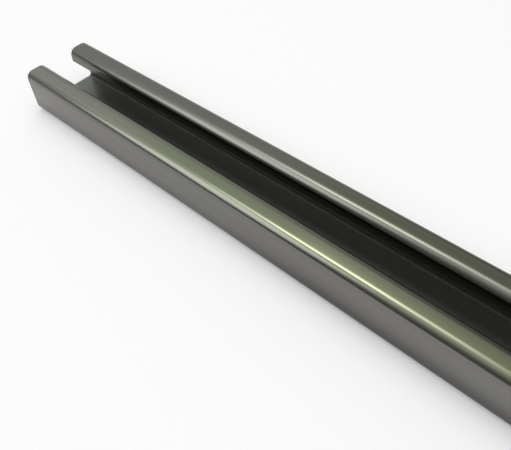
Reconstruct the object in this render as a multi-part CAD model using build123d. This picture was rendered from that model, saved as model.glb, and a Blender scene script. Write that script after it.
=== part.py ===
from build123d import *
import os

# A length of stainless steel mounting profile: one strip of sheet, roll formed into
# a channel with a slot along its front. Its lips turn in over the channel and then
# turn down again as short returns, which hold the grooves of a channel nut.
# Sizes are in millimetres. X runs along the profile, Y across it, and Z goes up from
# its back, the face that it lies on. The origin is the middle of the back.

# Stock
PROFILE_LENGTH = 1000.0
SHEET_THICKNESS = 2.0

# Section, over the outside of the folds
PROFILE_WIDTH = 30.0
PROFILE_HEIGHT = 18.0
SLOT_WIDTH = 12.0
RETURN_DEPTH = 5.5
INNER_BEND_RADIUS = 1.0

# Cut edges: the rolled slit edge of the strip, and the deburred sawn ends
STRIP_EDGE_RADIUS = 0.3
END_CHAMFER = 0.2

# A vertex this close to a level counts as lying on it
LEVEL_TOLERANCE = 0.001


def outer_skin():
    """Return the outside of the folded strip, from one free edge round to the other."""
    side = PROFILE_WIDTH / 2
    slot_side = SLOT_WIDTH / 2
    top = PROFILE_HEIGHT
    free_edge = PROFILE_HEIGHT - RETURN_DEPTH
    corners = [
        (-slot_side, free_edge),
        (-slot_side, top),
        (-side, top),
        (-side, 0),
        (side, 0),
        (side, top),
        (slot_side, top),
        (slot_side, free_edge),
    ]
    return FilletPolyline(*corners, radius=INNER_BEND_RADIUS + SHEET_THICKNESS)


def strip_section():
    """Return the section of the profile: the skin thickened inwards by one sheet."""
    outline = offset(outer_skin(), amount=SHEET_THICKNESS, side=Side.LEFT, closed=True)
    section = make_face(outline)
    free_edge = PROFILE_HEIGHT - RETURN_DEPTH
    strip_corners = section.vertices().filter_by_position(
        Axis.Y, free_edge - LEVEL_TOLERANCE, free_edge + LEVEL_TOLERANCE
    )
    return fillet(strip_corners, STRIP_EDGE_RADIUS)


def c_profile():
    """Return the length of profile, with the burr taken off the rim of both ends."""
    bar = extrude(Plane.YZ * strip_section(), amount=PROFILE_LENGTH / 2, both=True)
    end_faces = bar.faces().filter_by(Axis.X)
    return chamfer(end_faces.edges(), END_CHAMFER)


os.makedirs("parts", exist_ok=True)
export_step(c_profile(), "parts/c_profile.step")
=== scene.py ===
"""Dress the length of stainless steel mounting profile and set it up for its picture.

The strip is built again in fine steps round its folds, in metres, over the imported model's own
node. X runs along the profile, Y across it and Z up from its back. The picture shows the end at
low X, and the rest of the length runs out under the camera.
"""

import logging
import math
from dataclasses import dataclass
from enum import Enum
from typing import Protocol

import bmesh
import bpy
from mathutils import Euler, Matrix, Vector


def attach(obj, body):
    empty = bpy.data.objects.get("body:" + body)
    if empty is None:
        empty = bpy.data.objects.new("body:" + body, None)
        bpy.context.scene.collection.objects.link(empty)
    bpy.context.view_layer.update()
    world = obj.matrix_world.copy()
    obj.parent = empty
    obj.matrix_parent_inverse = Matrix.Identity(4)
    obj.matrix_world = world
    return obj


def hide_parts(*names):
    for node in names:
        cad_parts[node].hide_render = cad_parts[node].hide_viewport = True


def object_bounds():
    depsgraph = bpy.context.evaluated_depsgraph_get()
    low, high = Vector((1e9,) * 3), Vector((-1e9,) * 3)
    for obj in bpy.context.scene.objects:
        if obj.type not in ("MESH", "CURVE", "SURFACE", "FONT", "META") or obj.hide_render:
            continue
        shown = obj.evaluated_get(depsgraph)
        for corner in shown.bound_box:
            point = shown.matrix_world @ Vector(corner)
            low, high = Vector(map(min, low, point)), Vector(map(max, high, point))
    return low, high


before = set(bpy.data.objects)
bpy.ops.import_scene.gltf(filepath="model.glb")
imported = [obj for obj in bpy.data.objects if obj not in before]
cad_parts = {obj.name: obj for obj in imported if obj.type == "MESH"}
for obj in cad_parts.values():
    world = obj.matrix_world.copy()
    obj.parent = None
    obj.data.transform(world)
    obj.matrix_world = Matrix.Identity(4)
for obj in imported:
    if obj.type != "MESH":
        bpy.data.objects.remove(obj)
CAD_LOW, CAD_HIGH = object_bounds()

LOG = logging.getLogger("mounting_profile")
BODY = "root"
NODE = "c_profile"
# How thick the sheet is, in metres
SHEET = 0.002

Colour = tuple[float, float, float]
Triple = tuple[float, float, float]
Point = tuple[float, float]
Span = tuple[float, float]
Socket = bpy.types.NodeSocket
Ring = list[bmesh.types.BMVert]

WHITE: Colour = (1.0, 1.0, 1.0)
# Tints of the studio's lamps
COOL: Colour = (0.98, 1.0, 1.02)
WARM: Colour = (1.03, 1.05, 0.88)
# How bright the backdrop is, where 1 is white
BACKDROP = 0.95
# How far from the cut end the lamps are aimed, in metres
AIM_FROM_END = 0.05
# The range that most of a noise pattern lies in, and a narrower one for two patterns together
NOISE_SPAN: Span = (0.3, 0.7)
BLENDED_SPAN: Span = (0.35, 0.65)


class Surface(Enum):
    """The kinds of surface that the strip has, by their place in its list of materials."""

    SKIN = 0
    INSIDE = 1
    SLIT = 2
    SAWN = 3


class Nodes:
    """A short way to fill a node tree."""

    def __init__(self, tree: bpy.types.NodeTree) -> None:
        """Start with an empty tree.

        Args:
            tree: The tree to fill.
        """
        self.tree = tree
        self.tree.nodes.clear()

    def add(self, kind: str, **settings: object) -> bpy.types.Node:
        """Add a node.

        Args:
            kind: The node's type, without its ShaderNode prefix.
            **settings: Attributes to set on it.

        Returns:
            The new node.
        """
        node = self.tree.nodes.new("ShaderNode" + kind)
        for name, value in settings.items():
            setattr(node, name, value)
        return node

    def link(self, source: Socket, target: Socket) -> None:
        """Join an output to an input."""
        self.tree.links.new(source, target)

    def math(self, operation: str, *values: Socket | float) -> Socket:
        """Return a sum, product or other result of one or two values.

        Args:
            operation: What to do with them.
            *values: Sockets or plain numbers.

        Returns:
            The result.
        """
        node = self.add("Math", operation=operation)
        for socket, value in zip(node.inputs, values):
            if isinstance(value, float):
                socket.default_value = value
            else:
                self.link(value, socket)
        return node.outputs["Value"]

    def stretched(self, scale: Triple) -> Socket:
        """Return the object's own coordinates, scaled differently along each axis.

        Args:
            scale: How often a pattern repeats in a metre along X, Y and Z.

        Returns:
            The scaled coordinates.
        """
        place = self.add("TexCoord")
        mapping = self.add("Mapping")
        mapping.inputs["Scale"].default_value = scale
        self.link(place.outputs["Object"], mapping.inputs["Vector"])
        return mapping.outputs["Vector"]

    def place(self) -> dict[str, Socket]:
        """Split the object's own coordinates.

        Returns:
            X, Y and Z at each point, in metres.
        """
        place = self.add("TexCoord")
        parts = self.add("SeparateXYZ")
        self.link(place.outputs["Object"], parts.inputs["Vector"])
        return {axis: parts.outputs[axis] for axis in "XYZ"}

    def noise(self, scale: Triple, detail: float = 2.0, roughness: float = 0.5) -> Socket:
        """Return a noise pattern that may be drawn out along one axis.

        Args:
            scale: Its features in a metre along X, Y and Z.
            detail: How many finer layers it has.
            roughness: How strong those layers are.

        Returns:
            The pattern, from 0 to 1.
        """
        noise = self.add("TexNoise")
        noise.inputs["Scale"].default_value = 1.0
        noise.inputs["Detail"].default_value = detail
        noise.inputs["Roughness"].default_value = roughness
        self.link(self.stretched(scale), noise.inputs["Vector"])
        return noise.outputs["Fac"]

    def spread(self, value: Socket, before: Span, after: Span) -> Socket:
        """Return a value moved from one range to another, and held inside it.

        Args:
            value: The value.
            before: Its range now.
            after: The range that it gets.

        Returns:
            The value in its new range.
        """
        node = self.add("MapRange")
        node.inputs["From Min"].default_value = before[0]
        node.inputs["From Max"].default_value = before[1]
        node.inputs["To Min"].default_value = after[0]
        node.inputs["To Max"].default_value = after[1]
        self.link(value, node.inputs["Value"])
        return node.outputs["Result"]

    def band(self, value: Socket, rise: Span, fall: Span, most: float) -> Socket:
        """Return a share that grows over one stretch of a value and fades over another.

        Args:
            value: The value.
            rise: The stretch over which the share grows from 0.
            fall: The stretch over which it goes back to 0.
            most: The share between the two.

        Returns:
            The share.
        """
        grown = self.spread(value, rise, (0.0, most))
        return self.math("MULTIPLY", grown, self.spread(value, fall, (1.0, 0.0)))

    def blend(self, share: Socket, first: Socket | Colour, second: Socket | Colour) -> Socket:
        """Return a colour between two.

        Args:
            share: How much of the second colour it has, from 0 to 1.
            first: The first colour.
            second: The second colour.

        Returns:
            The colour between them.
        """
        mix = self.add("Mix", data_type="RGBA")
        sockets = [socket for socket in mix.inputs if socket.type == "RGBA"]
        for socket, colour in zip(sockets, (first, second)):
            if isinstance(colour, tuple):
                socket.default_value = (*colour, 1.0)
            else:
                self.link(colour, socket)
        self.link(share, mix.inputs[0])
        return next(socket for socket in mix.outputs if socket.type == "RGBA")

    def tinted(self, colour: Socket, tint: Socket) -> Socket:
        """Return a colour multiplied by another.

        Args:
            colour: The colour.
            tint: What it is multiplied by.

        Returns:
            The tinted colour.
        """
        node = self.add("VectorMath", operation="MULTIPLY")
        self.link(colour, node.inputs[0])
        self.link(tint, node.inputs[1])
        return node.outputs["Vector"]

    def shaded(self, colour: Socket, share: Socket) -> Socket:
        """Return a colour made darker.

        Args:
            colour: The colour.
            share: How much of it is left, from 0 to 1.

        Returns:
            The darker colour.
        """
        node = self.add("VectorMath", operation="SCALE")
        self.link(colour, node.inputs[0])
        self.link(share, node.inputs["Scale"])
        return node.outputs["Vector"]

    def bump(self, height: Socket, depth: float, under: Socket | None = None) -> Socket:
        """Return a normal with a relief on it.

        Args:
            height: The relief, from 0 to 1.
            depth: How deep it is, in metres.
            under: The normal that it lies on, if not the plain one.

        Returns:
            The new normal.
        """
        node = self.add("Bump")
        node.inputs["Distance"].default_value = depth
        self.link(height, node.inputs["Height"])
        if under is not None:
            self.link(under, node.inputs["Normal"])
        return node.outputs["Normal"]

    def metal(self, colour: Socket, roughness: Socket, normal: Socket, bare: Socket | None = None) -> None:
        """Finish the tree as bare metal.

        Args:
            colour: The colour of its reflections.
            roughness: How blurred they are.
            normal: The surface's fine relief.
            bare: How much of it is bare metal, if not all; the rest is a dull haze.
        """
        shader = self.add("BsdfPrincipled")
        shader.inputs["Metallic"].default_value = 1.0
        if bare is not None:
            self.link(bare, shader.inputs["Metallic"])
        self.link(colour, shader.inputs["Base Color"])
        self.link(roughness, shader.inputs["Roughness"])
        self.link(normal, shader.inputs["Normal"])
        self.show(shader.outputs["BSDF"])

    def shine(self, kind: str, strength: Socket | float, colour: Colour = WHITE) -> Socket:
        """Return a shader that gives light.

        Args:
            kind: Emission for a surface, or Background for the world.
            strength: How bright it is, where 1 is white.
            colour: Its tint.

        Returns:
            The shader.
        """
        node = self.add(kind)
        node.inputs["Color"].default_value = (*colour, 1.0)
        if isinstance(strength, float):
            node.inputs["Strength"].default_value = strength
        else:
            self.link(strength, node.inputs["Strength"])
        return node.outputs[kind]

    def summed(self, first: Socket, second: Socket) -> Socket:
        """Return two shaders added together.

        Args:
            first: The first shader.
            second: The second shader.

        Returns:
            Their sum.
        """
        both = self.add("AddShader")
        self.link(first, both.inputs[0])
        self.link(second, both.inputs[1])
        return both.outputs["Shader"]

    def mixed(self, share: Socket, first: Socket, second: Socket) -> Socket:
        """Return a shader between two.

        Args:
            share: How much of the second shader it has, from 0 to 1.
            first: The first shader.
            second: The second shader.

        Returns:
            The shader between them.
        """
        mix = self.add("MixShader")
        self.link(share, mix.inputs["Fac"])
        self.link(first, mix.inputs[1])
        self.link(second, mix.inputs[2])
        return mix.outputs["Shader"]

    def show(self, shader: Socket, output: str = "OutputMaterial") -> None:
        """Join a shader to the tree's output."""
        self.link(shader, self.add(output).inputs["Surface"])


def new_material(name: str) -> bpy.types.Material:
    """Make a material that takes nodes.

    Args:
        name: Its name.

    Returns:
        The material.
    """
    material = bpy.data.materials.new(name)
    material.use_nodes = True
    return material


class Mark(Protocol):
    """Something on the sheet that changes its colour or its roughness."""

    def laid_on(self, colour: Socket, roughness: Socket, nodes: Nodes) -> tuple[Socket, Socket]:
        """Return the sheet's colour and roughness with the mark on it."""


@dataclass(frozen=True)
class LipTintAndShade:
    """An olive tint on a lip, paler near the cut ends, which also paints light and shade on it.

    On the left lip it is brighter than the bare sheet: painted reflection on the lip and on the
    highlight of its bend. On the right lip it is darker along the middle of the length: painted
    shade. It begins at rise and ends at fall across the profile, lies above level, and turns pale
    where the distance from the middle of the length is in reach.
    """

    # The default colours are for the left lip: brighter than the bare sheet, as painted reflection.
    olive: Colour = (0.276, 0.297, 0.206)
    pale: Colour = (0.322, 0.323, 0.275)
    most: float = 0.9
    rise: Span = (-0.0143, -0.0130)
    fall: Span = (-0.0098, -0.0079)
    level: Span = (0.0160, 0.0172)
    reach: Span = (0.425, 0.465)
    gloss_gain: float = 0.25

    def laid_on(self, colour: Socket, roughness: Socket, nodes: Nodes) -> tuple[Socket, Socket]:
        """Lay the tint, with its painted light and shade, on the lip.

        Args:
            colour: The sheet's colour.
            roughness: The sheet's roughness.
            nodes: The tree that they are in.

        Returns:
            Both with the mark on the sheet.
        """
        place = nodes.place()
        band = nodes.band(place["Y"], self.rise, self.fall, self.most)
        share = nodes.math("MULTIPLY", band, nodes.spread(place["Z"], self.level, (0.0, 1.0)))
        near_end = nodes.spread(nodes.math("ABSOLUTE", place["X"]), self.reach, (0.0, 1.0))
        # The tint's brightness paints reflection on the left lip and shade on the right one.
        lip_tone = nodes.blend(near_end, self.olive, self.pale)
        smoother = nodes.spread(share, (0.0, 1.0), (1.0, 1.0 - self.gloss_gain))
        return nodes.blend(share, colour, lip_tone), nodes.math("MULTIPLY", roughness, smoother)


@dataclass(frozen=True)
class PaintedSideShade:
    """Painted shade on the sides below the lips: darker, a little lilac, and darker again low on them.

    Below level they are darker all over, as painted shade where they reflect the bright floor. A band
    of painted shadow, the floor's contact shadow as the sides reflect it, begins at band_rise and
    ends at band_fall in height. A darker middle, more of that painted shadow away from the cut ends,
    goes out to middle_reach along the profile and up to middle_fall in height.
    """

    level: Span = (0.0158, 0.0168)
    # A darker, slightly lilac tone below level: painted shade where the sides reflect the floor.
    tone: Colour = (0.808, 0.788, 0.818)
    band_rise: Span = (0.0010, 0.0034)
    band_fall: Span = (0.0025, 0.0075)
    band_loss: float = 0.27
    middle_reach: Span = (0.370, 0.405)
    middle_fall: Span = (0.0040, 0.0115)
    middle_loss: float = 0.38

    def laid_on(self, colour: Socket, roughness: Socket, nodes: Nodes) -> tuple[Socket, Socket]:
        """Paint shade on the sides.

        Args:
            colour: The sheet's colour.
            roughness: The sheet's roughness.
            nodes: The tree that they are in.

        Returns:
            Both with the mark on the sheet.
        """
        place = nodes.place()
        height = place["Z"]
        sides = nodes.blend(nodes.spread(height, self.level, (0.0, 1.0)), self.tone, WHITE)
        # Painted shadow low on the sides: the floor's contact shadow as they reflect it.
        band = nodes.band(height, self.band_rise, self.band_fall, self.band_loss)
        along = nodes.math("ABSOLUTE", place["X"])
        # More painted shadow low on the sides, away from the cut ends.
        middle = nodes.math(
            "MULTIPLY",
            nodes.spread(along, self.middle_reach, (self.middle_loss, 0.0)),
            nodes.spread(height, self.middle_fall, (1.0, 0.0)),
        )
        dulling_and_shade = nodes.shaded(nodes.tinted(colour, sides), nodes.math("SUBTRACT", 1.0, middle))
        return nodes.shaded(dulling_and_shade, nodes.math("SUBTRACT", 1.0, band)), roughness


@dataclass(frozen=True)
class PaintedCreaseShade:
    """Painted shade on the inner sides of the channel and in its corners, which are also rougher.

    The painted shade in the corners goes out to reach from them and the rougher metal to dull_reach,
    and the sides darken with painted shade over side, which is measured from the middle of the
    profile.
    """

    reach: Span = (0.0003, 0.0010)
    tone: float = 0.45
    side: Span = (0.0127, 0.0130)
    side_tone: float = 0.5
    dull_reach: Span = (0.0008, 0.0012)
    dulling: float = 1.9

    def laid_on(self, colour: Socket, roughness: Socket, nodes: Nodes) -> tuple[Socket, Socket]:
        """Paint shade on the sides and in the corners, and dull the corners.

        Args:
            colour: The sheet's colour.
            roughness: The sheet's roughness.
            nodes: The tree that they are in.

        Returns:
            Both with the mark on the sheet.
        """
        place = nodes.place()
        half_width = CAD_HIGH.y - SHEET
        middle = (CAD_LOW.z + CAD_HIGH.z) / 2
        half_height = CAD_HIGH.z - middle - SHEET
        from_centre = nodes.math("ABSOLUTE", place["Y"])
        across = nodes.math("SUBTRACT", from_centre, half_width)
        from_middle = nodes.math("ABSOLUTE", nodes.math("SUBTRACT", place["Z"], middle))
        upwards = nodes.math("SUBTRACT", from_middle, half_height)
        squares = nodes.math(
            "ADD", nodes.math("MULTIPLY", across, across), nodes.math("MULTIPLY", upwards, upwards)
        )
        distance = nodes.math("SQRT", squares)
        # Painted shade in the channel's corners and on its inner sides.
        corner = nodes.spread(distance, self.reach, (self.tone, 1.0))
        side = nodes.spread(from_centre, self.side, (1.0, self.side_tone))
        dulling_and_shade = nodes.spread(distance, self.dull_reach, (self.dulling, 1.0))
        darker = nodes.shaded(colour, nodes.math("MULTIPLY", corner, side))
        return darker, nodes.math("MULTIPLY", roughness, dulling_and_shade)


@dataclass(frozen=True)
class PaintedReturnShade:
    """The returns' faces in the slot, a little darker with painted shade and greener than the sheet's
    other sides.

    The tone fades out over width, measured from the middle of the slot, and over level in height.
    """

    width: Span = (0.0067, 0.0077)
    level: Span = (0.0160, 0.0176)
    tone: Colour = (0.860, 0.920, 0.865)

    def laid_on(self, colour: Socket, roughness: Socket, nodes: Nodes) -> tuple[Socket, Socket]:
        """Lay the returns' painted shade on their faces.

        Args:
            colour: The sheet's colour.
            roughness: The sheet's roughness.
            nodes: The tree that they are in.

        Returns:
            Both with the mark on the sheet.
        """
        place = nodes.place()
        # Painted shade on the faces that look into the slot.
        share = nodes.math(
            "MULTIPLY",
            nodes.spread(nodes.math("ABSOLUTE", place["Y"]), self.width, (1.0, 0.0)),
            nodes.spread(place["Z"], self.level, (1.0, 0.0)),
        )
        return nodes.tinted(colour, nodes.blend(share, WHITE, self.tone)), roughness


@dataclass(frozen=True)
class DullHaze:
    """A dull haze over the metal, thicker towards the sides of the channel.

    Over from_middle, the distance from the middle of the channel, the share of bare metal goes from
    the first value of bare to the second.
    """

    from_middle: Span = (0.006, 0.011)
    bare: Span = (0.83, 0.65)

    def left_bare(self, nodes: Nodes) -> Socket:
        """Return how much of the surface is still bare metal."""
        across = nodes.math("ABSOLUTE", nodes.place()["Y"])
        return nodes.spread(across, self.from_middle, self.bare)


@dataclass(frozen=True)
class SatinSheet:
    """Rolled stainless sheet: a satin skin with fine lines along the profile."""

    name: str = "satin_sheet"
    dark: Colour = (0.219, 0.209, 0.191)
    light: Colour = (0.225, 0.231, 0.206)
    gloss: Span = (0.21, 0.29)
    haze: DullHaze | None = None
    marks: tuple[Mark, ...] = ()
    patch_share: float = 0.6
    patch_per_metre: Triple = (10.0, 160.0, 160.0)
    grain_per_metre: Triple = (22.0, 5200.0, 5200.0)
    line_per_metre: Triple = (6.0, 900.0, 900.0)
    wave_per_metre: Triple = (16.0, 160.0, 160.0)
    grain_depth: float = 0.8e-6
    line_depth: float = 1.0e-6
    wave_depth: float = 1.0e-5

    def material(self) -> bpy.types.Material:
        """Make the finish's node material.

        Returns:
            The material.
        """
        material = new_material(self.name)
        nodes = Nodes(material.node_tree)
        patches = nodes.noise(self.patch_per_metre, detail=2.0)
        grain = nodes.noise(self.grain_per_metre, detail=3.0, roughness=0.6)
        lines = nodes.noise(self.line_per_metre, detail=1.0)
        waves = nodes.noise(self.wave_per_metre, detail=1.0)
        tone = nodes.math(
            "ADD",
            nodes.math("MULTIPLY", patches, self.patch_share),
            nodes.math("MULTIPLY", lines, 1.0 - self.patch_share),
        )
        colour = nodes.blend(nodes.spread(tone, BLENDED_SPAN, (0.0, 1.0)), self.dark, self.light)
        roughness = nodes.spread(grain, NOISE_SPAN, self.gloss)
        for mark in self.marks:
            colour, roughness = mark.laid_on(colour, roughness, nodes)
        normal = nodes.bump(waves, self.wave_depth)
        normal = nodes.bump(lines, self.line_depth, normal)
        normal = nodes.bump(grain, self.grain_depth, normal)
        bare = self.haze.left_bare(nodes) if self.haze else None
        nodes.metal(colour, roughness, normal, bare)
        return material


@dataclass(frozen=True)
class CutFace:
    """A cut through the sheet: brighter metal with fine straight lines across it."""

    name: str
    cut_per_metre: Triple
    dull: Colour = (0.24, 0.235, 0.22)
    bright: Colour = (0.36, 0.35, 0.33)
    gloss: Span = (0.3, 0.5)
    cut_depth: float = 6.0e-6

    def material(self) -> bpy.types.Material:
        """Make the finish's node material.

        Returns:
            The material.
        """
        material = new_material(self.name)
        nodes = Nodes(material.node_tree)
        cuts = nodes.noise(self.cut_per_metre, detail=3.0, roughness=0.6)
        share = nodes.spread(cuts, NOISE_SPAN, (0.0, 1.0))
        colour = nodes.blend(share, self.dull, self.bright)
        roughness = nodes.spread(cuts, NOISE_SPAN, self.gloss)
        nodes.metal(colour, roughness, nodes.bump(cuts, self.cut_depth))
        return material


@dataclass(frozen=True)
class FoldedStrip:
    """The profile: one strip of sheet folded into a slotted channel. Sizes are in metres."""

    sheet: float = SHEET
    slot_width: float = 0.012
    return_depth: float = 0.0055
    inner_bend: float = 0.001
    strip_edge: float = 0.0003
    end_round: float = 0.0002
    steps_per_fold: int = 20
    steps_per_end: int = 4
    stations: int = 41
    end_margin: float = 0.0006

    def corners(self) -> list[tuple[Point, float]]:
        """Lay out the section's corners.

        The first half goes round the outside of the strip, from one free edge to the other,
        and the second half comes back along its inside.

        Returns:
            Each corner with its radius.
        """
        side, top = CAD_HIGH.y, CAD_HIGH.z
        slot_side = self.slot_width / 2
        free_edge = top - self.return_depth
        skin = [
            (-slot_side, free_edge), (-slot_side, top), (-side, top), (-side, 0.0),
            (side, 0.0), (side, top), (slot_side, top), (slot_side, free_edge),
        ]
        thick = self.sheet
        inside = [
            (-slot_side - thick, free_edge), (-slot_side - thick, top - thick),
            (-side + thick, top - thick), (-side + thick, thick),
            (side - thick, thick), (side - thick, top - thick),
            (slot_side + thick, top - thick), (slot_side + thick, free_edge),
        ]
        outer = self.inner_bend + thick
        edge = self.strip_edge
        outer_radii = [edge] + [outer] * 6 + [edge]
        inner_radii = [edge] + [self.inner_bend] * 6 + [edge]
        there = list(zip(skin, outer_radii))
        back = list(zip(inside, inner_radii))
        return there + back[::-1]

    def outline(self) -> list[tuple[Point, Point]]:
        """Round the section's corners.

        Returns:
            The section's points, with the outward direction at each.
        """
        corners = self.corners()
        points = []
        for number, (corner, radius) in enumerate(corners):
            here = Vector(corner)
            before = (Vector(corners[number - 1][0]) - here).normalized()
            after = (Vector(corners[(number + 1) % len(corners)][0]) - here).normalized()
            turn = before.cross(after)
            centre = here + (before + after) * radius
            outward = 1.0 if turn < 0 else -1.0
            for step in range(self.steps_per_fold + 1):
                angle = math.pi / 2 * step / self.steps_per_fold
                radial = -after * math.cos(angle) - before * math.sin(angle)
                points.append((tuple(centre + radial * radius), tuple(radial * outward)))
        return points

    def places(self) -> list[tuple[float, float]]:
        """Set out the rings of points along the profile.

        The first and last few rings go round the broken edges of the two ends.

        Returns:
            Where each ring stands, with its inset from the section's outline.
        """
        turns = [math.pi / 2 * step / self.steps_per_end for step in range(self.steps_per_end + 1)]
        edge = [
            (self.end_round * (1 - math.cos(turn)), self.end_round * (1 - math.sin(turn)))
            for turn in turns
        ]
        low, high = CAD_LOW.x, CAD_HIGH.x
        margin = self.end_margin
        span = high - low - 2 * margin
        plain = [(low + margin + span * step / (self.stations - 1), 0.0) for step in range(self.stations)]
        first = [(low + along, inset) for along, inset in edge]
        last = [(high - along, inset) for along, inset in reversed(edge)]
        return first + plain + last

    def surface(self, number: int) -> Surface:
        """Return what lies between one point of the outline and the next.

        Args:
            number: The first point's place in the outline.

        Returns:
            The skin, the inside, or the slit edge of the strip.
        """
        corner, step = divmod(number, self.steps_per_fold + 1)
        last = len(self.corners()) - 1
        half = (last - 1) // 2
        rounding = step < self.steps_per_fold
        if corner in (half, last) or (corner in (0, half + 1) and rounding):
            return Surface.SLIT
        return Surface.SKIN if corner <= half else Surface.INSIDE

    def rings(self, mesh: bmesh.types.BMesh) -> list[Ring]:
        """Add the rings of points that the skin is stretched over.

        Args:
            mesh: The mesh that gets them.

        Returns:
            The rings, from one end to the other.
        """
        outline = self.outline()
        return [
            [
                mesh.verts.new((x, y - out_y * inset, z - out_z * inset))
                for (y, z), (out_y, out_z) in outline
            ]
            for x, inset in self.places()
        ]

    def wrap(self, mesh: bmesh.types.BMesh, rings: list[Ring]) -> None:
        """Join each ring to the next with the strip's long faces.

        Args:
            mesh: The strip's mesh.
            rings: Its rings of points.
        """
        count = len(rings[0])
        surfaces = [self.surface(number) for number in range(count)]
        for ring, following in zip(rings, rings[1:]):
            for number in range(count):
                other = (number + 1) % count
                face = mesh.faces.new((ring[number], ring[other], following[other], following[number]))
                face.material_index = surfaces[number].value

    def close_end(self, mesh: bmesh.types.BMesh, ring: Ring) -> None:
        """Close a sawn end, with a row of faces from the skin across to the inside.

        Args:
            mesh: The strip's mesh.
            ring: The ring of points at that end.
        """
        count = len(ring)
        for number in range(count // 2 - 1):
            far = count - 1 - number
            face = mesh.faces.new((ring[number], ring[number + 1], ring[far - 1], ring[far]))
            face.material_index = Surface.SAWN.value

    def build(self) -> bpy.types.Object:
        """Build the strip's mesh and put it in the scene.

        Returns:
            The strip, riding on the profile's body in place of its node.
        """
        mesh = bmesh.new()
        rings = self.rings(mesh)
        self.wrap(mesh, rings)
        self.close_end(mesh, rings[0])
        self.close_end(mesh, rings[-1])
        bmesh.ops.recalc_face_normals(mesh, faces=mesh.faces)
        for face in mesh.faces:
            face.smooth = face.material_index != Surface.SAWN.value
        data = bpy.data.meshes.new("folded_strip")
        mesh.to_mesh(data)
        mesh.free()
        strip = bpy.data.objects.new("folded_strip", data)
        bpy.context.scene.collection.objects.link(strip)
        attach(strip, BODY)
        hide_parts(NODE)
        return strip

    def dress(self, strip: bpy.types.Object) -> None:
        """Give the strip its finishes.

        Args:
            strip: The strip that build made.
        """
        # The right lip's tint is darker than the bare sheet along the middle of the length: painted shade.
        right_lip_shade = LipTintAndShade(
            olive=(0.188, 0.192, 0.150), pale=(0.222, 0.220, 0.199), most=1.0,
            rise=(0.0078, 0.0090), fall=(0.0105, 0.0118), reach=(0.372, 0.412), gloss_gain=0.0,
        )
        finishes = {
            Surface.SKIN: SatinSheet(marks=(LipTintAndShade(), right_lip_shade, PaintedSideShade(), PaintedReturnShade())),
            Surface.INSIDE: SatinSheet(
                name="hazy_sheet", dark=(0.206, 0.214, 0.196), light=(0.224, 0.232, 0.211),
                gloss=(0.30, 0.38), haze=DullHaze(), marks=(PaintedCreaseShade(),),
            ),
            # The slit edge's colours are far darker than the sheet's: painted shade, as it lies in shade
            # under the returns.
            Surface.SLIT: CutFace(
                "slit_edge", cut_per_metre=(40.0, 2600.0, 2600.0),
                dull=(0.030, 0.030, 0.028), bright=(0.045, 0.044, 0.042),
            ),
            Surface.SAWN: CutFace("sawn_face", cut_per_metre=(60.0, 60.0, 4200.0)),
        }
        for surface in Surface:
            strip.data.materials.append(finishes[surface].material())


@dataclass(frozen=True)
class StudioFloor:
    """The plain pale floor that the profile lies on, which fades into the backdrop far from it."""

    half_side: float = 6.0
    colour: Colour = (0.9, 0.88, 0.91)
    roughness: float = 0.9
    glow: float = 0.17
    glow_colour: Colour = (1.0, 1.02, 1.03)
    fade: Span = (0.8, 2.4)
    backdrop: float = BACKDROP

    def build(self) -> bpy.types.Object:
        """Lay the floor just under the profile.

        Returns:
            The floor.
        """
        side, level = self.half_side, CAD_LOW.z
        data = bpy.data.meshes.new("studio_floor")
        corners = [(-side, -side, level), (side, -side, level), (side, side, level), (-side, side, level)]
        data.from_pydata(corners, [], [(0, 1, 2, 3)])
        floor = bpy.data.objects.new("studio_floor", data)
        bpy.context.scene.collection.objects.link(floor)
        data.materials.append(self.material())
        return floor

    def material(self) -> bpy.types.Material:
        """Mix the floor's paint, a little brighter where it is seen, directly or in the metal.

        Returns:
            The paint.
        """
        material = new_material("pale_floor")
        nodes = Nodes(material.node_tree)
        paint = nodes.add("BsdfPrincipled")
        paint.inputs["Base Color"].default_value = (*self.colour, 1.0)
        paint.inputs["Roughness"].default_value = self.roughness
        rays = nodes.add("LightPath").outputs
        direct = nodes.math("MAXIMUM", rays["Is Camera Ray"], rays["Is Glossy Ray"])
        seen = nodes.math("MAXIMUM", direct, rays["Is Transmission Ray"])
        glow = nodes.shine("Emission", nodes.math("MULTIPLY", seen, self.glow), self.glow_colour)
        distance = nodes.add("VectorMath", operation="LENGTH")
        nodes.link(nodes.add("TexCoord").outputs["Object"], distance.inputs[0])
        faded = nodes.spread(distance.outputs["Value"], self.fade, (0.0, 1.0))
        near = nodes.summed(paint.outputs["BSDF"], glow)
        far = nodes.shine("Emission", self.backdrop)
        nodes.show(nodes.mixed(nodes.math("MULTIPLY", faded, seen), near, far))
        return material


def way_to(bearing: float, height: float) -> Vector:
    """Turn a bearing and a height into a direction.

    Args:
        bearing: Degrees from +X towards +Y.
        height: Degrees over the floor.

    Returns:
        The direction, one long.
    """
    turn, rise = math.radians(bearing), math.radians(height)
    return Vector((math.cos(rise) * math.cos(turn), math.cos(rise) * math.sin(turn), math.sin(rise)))


@dataclass(frozen=True)
class SoftLamp:
    """A wide soft lamp, placed by the direction that it shines from and the angles that it fills."""

    name: str
    bearing: float
    height: float
    angles: tuple[float, float]
    power: float
    colour: Colour = WHITE
    distance: float = 3.0

    def build(self, aim: Vector) -> bpy.types.Object:
        """Hang the lamp.

        Args:
            aim: The point that it shines at.

        Returns:
            The lamp.
        """
        way = way_to(self.bearing, self.height)
        data = bpy.data.lights.new(self.name, "AREA")
        data.shape = "RECTANGLE"
        data.size, data.size_y = [
            2 * self.distance * math.tan(math.radians(angle / 2)) for angle in self.angles
        ]
        data.energy = self.power
        data.color = self.colour
        lamp = bpy.data.objects.new(self.name, data)
        lamp.location = aim + way * self.distance
        lamp.rotation_euler = way.to_track_quat("Z", "Y").to_euler()
        lamp.visible_camera = False
        bpy.context.scene.collection.objects.link(lamp)
        return lamp


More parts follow.
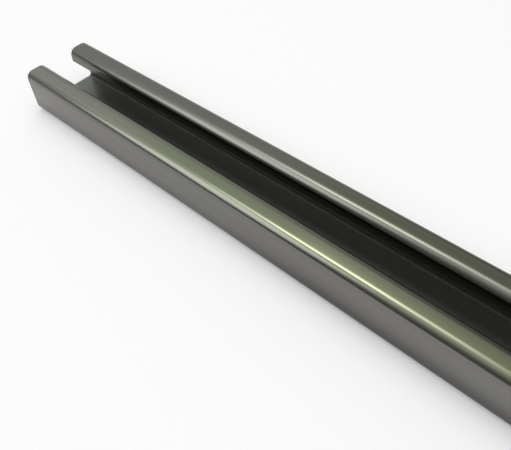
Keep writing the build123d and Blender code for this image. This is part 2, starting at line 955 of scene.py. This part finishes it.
@dataclass(frozen=True)
class SkyGlow:
    """A broad soft glow of the studio's walls or ceiling round one direction."""

    bearing: float
    height: float
    strength: float
    narrowness: float
    colour: Colour = WHITE

    def seen_along(self, way: Socket, nodes: Nodes) -> Socket:
        """Show the glow's share of the light from a direction.

        Args:
            way: The direction.
            nodes: The world's nodes.

        Returns:
            The glow's shader.
        """
        facing = nodes.add("VectorMath", operation="DOT_PRODUCT")
        facing.inputs[1].default_value = way_to(self.bearing, self.height)
        nodes.link(way, facing.inputs[0])
        near = nodes.math("POWER", nodes.math("MAXIMUM", facing.outputs["Value"], 0.0), self.narrowness)
        return nodes.shine("Background", nodes.math("MULTIPLY", near, self.strength), self.colour)


@dataclass(frozen=True)
class StudioAir:
    """The soft light of the studio's ceiling and walls, and the pale backdrop all round."""

    glows: tuple[SkyGlow, ...] = (
        SkyGlow(0.0, 90.0, 0.71, 4.0, (0.93, 0.96, 1.08)),
        SkyGlow(0.0, 90.0, 0.175, 2.0, (1.22, 1.23, 0.56)),
        SkyGlow(165.0, 10.0, 0.535, 2.0, (0.95, 0.98, 1.07)),
        SkyGlow(105.0, 0.0, 0.46, 8.0, (0.95, 1.14, 0.89)),
        SkyGlow(-15.0, 30.0, 0.17, 3.0),
    )
    fill: float = 0.08
    foot: float = 0.6
    foot_lowness: float = 30.0
    backdrop: float = BACKDROP

    def build(self) -> None:
        """Set the world's light, and the backdrop that is seen in its place."""
        world = bpy.data.worlds.new("studio_air")
        world.use_nodes = True
        nodes = Nodes(world.node_tree)
        way = nodes.add("TexCoord").outputs["Generated"]
        light = nodes.shine("Background", self.fill)
        for glow in self.glows:
            light = nodes.summed(light, glow.seen_along(way, nodes))
        backdrop = nodes.shine("Background", self.backdrop)
        nodes.show(nodes.mixed(self.backdrop_share(way, nodes), light, backdrop), "OutputWorld")
        bpy.context.scene.world = world

    def backdrop_share(self, way: Socket, nodes: Nodes) -> Socket:
        """Work out how much of the backdrop a ray sees: all of it directly, and its foot in the metal.

        Args:
            way: The ray's direction.
            nodes: The world's nodes.

        Returns:
            The share, from 0 to 1.
        """
        split = nodes.add("SeparateXYZ")
        nodes.link(way, split.inputs["Vector"])
        lowness = nodes.math("SUBTRACT", 1.0, nodes.math("MAXIMUM", split.outputs["Z"], 0.0))
        foot = nodes.math("MULTIPLY", nodes.math("POWER", lowness, self.foot_lowness), self.foot)
        rays = nodes.add("LightPath").outputs
        direct = nodes.math("MAXIMUM", rays["Is Camera Ray"], rays["Is Transmission Ray"])
        return nodes.math("MAXIMUM", direct, nodes.math("MULTIPLY", rays["Is Glossy Ray"], foot))


@dataclass(frozen=True)
class PhotoCamera:
    """The camera, close above the near stretch and looking towards the cut end."""

    from_end: float = 0.13279
    from_middle: float = -0.07295
    above_back: float = 0.11107
    turn_degrees: Triple = (39.258, -1.498, 38.295)
    lens: float = 27.984
    sensor: float = 36.0
    shift: tuple[float, float] = (0.0876, -0.0860)
    nearest: float = 0.005
    farthest: float = 30.0

    def build(self) -> bpy.types.Object:
        """Place the camera and make it the scene's own.

        Returns:
            The camera.
        """
        data = bpy.data.cameras.new("photo_camera")
        data.sensor_width = self.sensor
        data.lens = self.lens
        data.shift_x, data.shift_y = self.shift
        data.clip_start, data.clip_end = self.nearest, self.farthest
        camera = bpy.data.objects.new("photo_camera", data)
        camera.location = (CAD_LOW.x + self.from_end, self.from_middle, self.above_back)
        camera.rotation_euler = Euler([math.radians(angle) for angle in self.turn_degrees])
        bpy.context.scene.collection.objects.link(camera)
        bpy.context.scene.camera = camera
        return camera


def main() -> None:
    """Build the profile, the floor, the light and the camera."""
    logging.basicConfig(level=logging.INFO, format="%(name)s: %(message)s")
    profile = FoldedStrip()
    strip = profile.build()
    profile.dress(strip)
    LOG.info("%s has %d faces", strip.name, len(strip.data.polygons))
    floor = StudioFloor().build()
    LOG.info("%s lies under it", floor.name)
    aim = Vector((CAD_LOW.x + AIM_FROM_END, 0.0, CAD_HIGH.z))
    lamps = [
        SoftLamp("overhead_lamp", bearing=100.0, height=84.0, angles=(40.0, 24.0), power=8.4),
        SoftLamp("overhead_core", bearing=100.0, height=85.0, angles=(20.0, 14.0), power=5.8, colour=WARM),
        SoftLamp("far_lamp", bearing=70.0, height=70.0, angles=(30.0, 20.0), power=2.8, colour=WARM),
        SoftLamp("front_lamp", bearing=-119.0, height=48.5, angles=(40.0, 40.0), power=21.5, colour=COOL),
        SoftLamp("low_lamp", bearing=-122.0, height=32.0, angles=(30.0, 30.0), power=3.7, colour=COOL),
    ]
    for lamp in lamps:
        LOG.info("%s is hung", lamp.build(aim).name)
    StudioAir().build()
    LOG.info("%s looks on", PhotoCamera().build().name)
    bpy.context.scene.view_settings.view_transform = "Standard"


if __name__ == "__main__":
    main()
